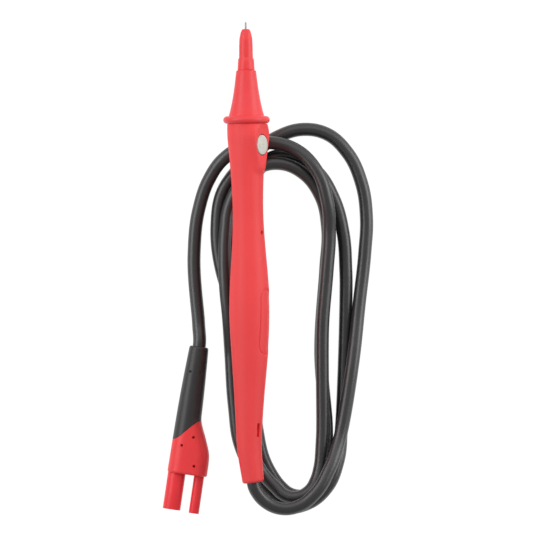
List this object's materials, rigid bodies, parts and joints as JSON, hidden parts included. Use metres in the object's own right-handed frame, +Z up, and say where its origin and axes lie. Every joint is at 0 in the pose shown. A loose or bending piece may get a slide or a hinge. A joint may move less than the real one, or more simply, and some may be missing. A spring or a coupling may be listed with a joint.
{
  "type": "insulation test probe",
  "caption": "Hand-held test probe with a needle tip, finger guard and push button, on a looped lead that ends in a two-prong shrouded plug.",
  "frame": {"origin": "on the probe's axis, where the bare needle leaves the front face of its insulating nib", "axes": "+Y along the needle out of its tip, +X to the side that the looped lead lies on, +Z up from the bench"},
  "size_m": [0.0962, 0.2219, 0.0321],
  "materials": {
    "needle_steel": "smooth turned steel",
    "nib_plastic": "satin moulded plastic",
    "nose_plastic": "satin moulded plastic",
    "handle_skin": "satin soft moulded skin",
    "core_plastic": "moulded plastic",
    "board_laminate": "glass-fibre board with solder resist",
    "switch_plastic": "moulded plastic",
    "switch_steel": "pressed steel",
    "button_plastic": "satin moulded plastic",
    "red_insulation": "extruded insulation",
    "yellow_insulation": "extruded insulation",
    "ferrule_metal": "crimped ring",
    "lead_rubber": "satin extruded sheath",
    "relief_rubber": "satin moulding",
    "plug_plastic": "satin moulded plastic",
    "carrier_plastic": "moulded plastic",
    "sleeve_plastic": "satin moulded plastic",
    "contact_metal": "plated turned brass",
    "cage_metal": "plated spring bronze"
  },
  "bodies": {
    "probe": {"needle": "needle_steel", "needle_nib": "nib_plastic", "nose_cone": "nose_plastic", "handle_skin": "handle_skin", "core_button_half": "core_plastic", "core_back_half": "core_plastic", "switch_board": "board_laminate", "switch_body": "switch_plastic", "switch_cover": "switch_steel", "needle_conductor": "red_insulation", "switch_conductors": "yellow_insulation", "cable_ferrule": "ferrule_metal", "cable": "lead_rubber", "strain_relief": "relief_rubber", "plug_body": "plug_plastic", "contact_carrier": "carrier_plastic", "main_sleeve": "sleeve_plastic", "main_pin": "contact_metal", "main_spring_cage": "cage_metal", "small_sleeve": "sleeve_plastic", "small_pin": "contact_metal", "plug_main_conductor": "red_insulation", "plug_signal_conductors": "yellow_insulation"},
    "button": {"test_button": "button_plastic", "switch_plunger": "switch_plastic"}
  },
  "joints": [
    {"name": "button_press", "type": "slide", "parent": "probe", "child": "button", "axis": [-0.8572, 0, -0.515], "range_m": [0, 0.0012], "stiffness_N_per_m": 1200, "springref_m": -0.0003}
  ]
}
